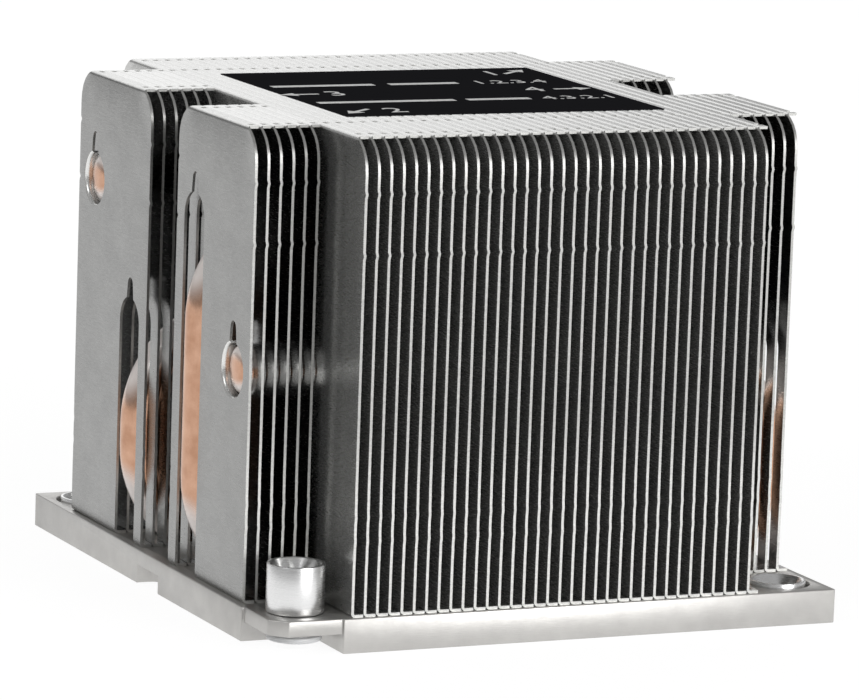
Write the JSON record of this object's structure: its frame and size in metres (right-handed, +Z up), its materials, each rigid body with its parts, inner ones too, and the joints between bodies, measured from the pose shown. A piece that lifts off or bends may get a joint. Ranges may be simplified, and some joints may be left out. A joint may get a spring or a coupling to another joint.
{
  "type": "passive server CPU heatsink",
  "caption": "Passive processor cooler: upright zipped sheet fins on a machined base with bent copper heat pipes and captive corner nuts.",
  "frame": {"origin": "middle of the underside of the base plate", "axes": "+Z up out of the base, Y along the fins and the air stream, X across the fins"},
  "size_m": [0.078, 0.084, 0.064],
  "materials": {
    "fin_aluminium": "satin",
    "machined_aluminium": "machined",
    "copper": "drawn, satin",
    "nut_steel": "polished",
    "ring_plastic": "translucent",
    "label_film": "matte"
  },
  "bodies": {
    "cooler": {"base_plate": "machined_aluminium", "fin_01": "fin_aluminium", "fin_02": "fin_aluminium", "fin_03": "fin_aluminium", "fin_04": "fin_aluminium", "fin_05": "fin_aluminium", "fin_06": "fin_aluminium", "fin_07": "fin_aluminium", "fin_08": "fin_aluminium", "fin_09": "fin_aluminium", "fin_10": "fin_aluminium", "fin_11": "fin_aluminium", "fin_12": "fin_aluminium", "fin_13": "fin_aluminium", "fin_14": "fin_aluminium", "fin_15": "fin_aluminium", "fin_16": "fin_aluminium", "fin_17": "fin_aluminium", "fin_18": "fin_aluminium", "fin_19": "fin_aluminium", "fin_20": "fin_aluminium", "fin_21": "fin_aluminium", "fin_22": "fin_aluminium", "fin_23": "fin_aluminium", "fin_24": "fin_aluminium", "fin_25": "fin_aluminium", "fin_26": "fin_aluminium", "fin_27": "fin_aluminium", "fin_28": "fin_aluminium", "fin_29": "fin_aluminium", "fin_30": "fin_aluminium", "fin_31": "fin_aluminium", "fin_32": "fin_aluminium", "fin_33": "fin_aluminium", "fin_34": "fin_aluminium", "heat_pipe_front_high": "copper", "heat_pipe_front_low": "copper", "heat_pipe_rear_high": "copper", "heat_pipe_rear_low": "copper", "outer_fin_front_left": "fin_aluminium", "outer_fin_front_right": "fin_aluminium", "outer_fin_rear_left": "fin_aluminium", "outer_fin_rear_right": "fin_aluminium", "side_fins_front_left": "fin_aluminium", "side_fins_front_right": "fin_aluminium", "side_fins_rear_left": "fin_aluminium", "side_fins_rear_right": "fin_aluminium", "top_label": "label_film"},
    "clip_front_left": {"ring_front_left": "ring_plastic"},
    "nut_front_left": {"nut_front_left": "nut_steel"},
    "clip_rear_right": {"ring_rear_right": "ring_plastic"},
    "nut_rear_right": {"nut_rear_right": "nut_steel"},
    "clip_front_right": {"ring_front_right": "ring_plastic"},
    "nut_front_right": {"nut_front_right": "nut_steel"},
    "clip_rear_left": {"ring_rear_left": "ring_plastic"},
    "nut_rear_left": {"nut_rear_left": "nut_steel"}
  },
  "joints": [
    {"name": "float_front_left", "type": "slide", "parent": "cooler", "child": "clip_front_left", "axis": [0, 0, 1], "range_m": [0, 0.00065]},
    {"name": "turn_front_left", "type": "hinge", "parent": "clip_front_left", "child": "nut_front_left", "pos_m": [-0.03361, -0.0362, 0.003], "axis": [0, 0, 1], "continuous": true},
    {"name": "float_rear_right", "type": "slide", "parent": "cooler", "child": "clip_rear_right", "axis": [0, 0, 1], "range_m": [0, 0.00065]},
    {"name": "turn_rear_right", "type": "hinge", "parent": "clip_rear_right", "child": "nut_rear_right", "pos_m": [0.03361, 0.0362, 0.003], "axis": [0, 0, 1], "continuous": true},
    {"name": "float_front_right", "type": "slide", "parent": "cooler", "child": "clip_front_right", "axis": [0, 0, 1], "range_m": [0, 0.0003]},
    {"name": "turn_front_right", "type": "hinge", "parent": "clip_front_right", "child": "nut_front_right", "pos_m": [0.03361, -0.0362, 0.003], "axis": [0, 0, 1], "continuous": true},
    {"name": "float_rear_left", "type": "slide", "parent": "cooler", "child": "clip_rear_left", "axis": [0, 0, 1], "range_m": [0, 0.0003]},
    {"name": "turn_rear_left", "type": "hinge", "parent": "clip_rear_left", "child": "nut_rear_left", "pos_m": [-0.03361, 0.0362, 0.003], "axis": [0, 0, 1], "continuous": true}
  ]
}
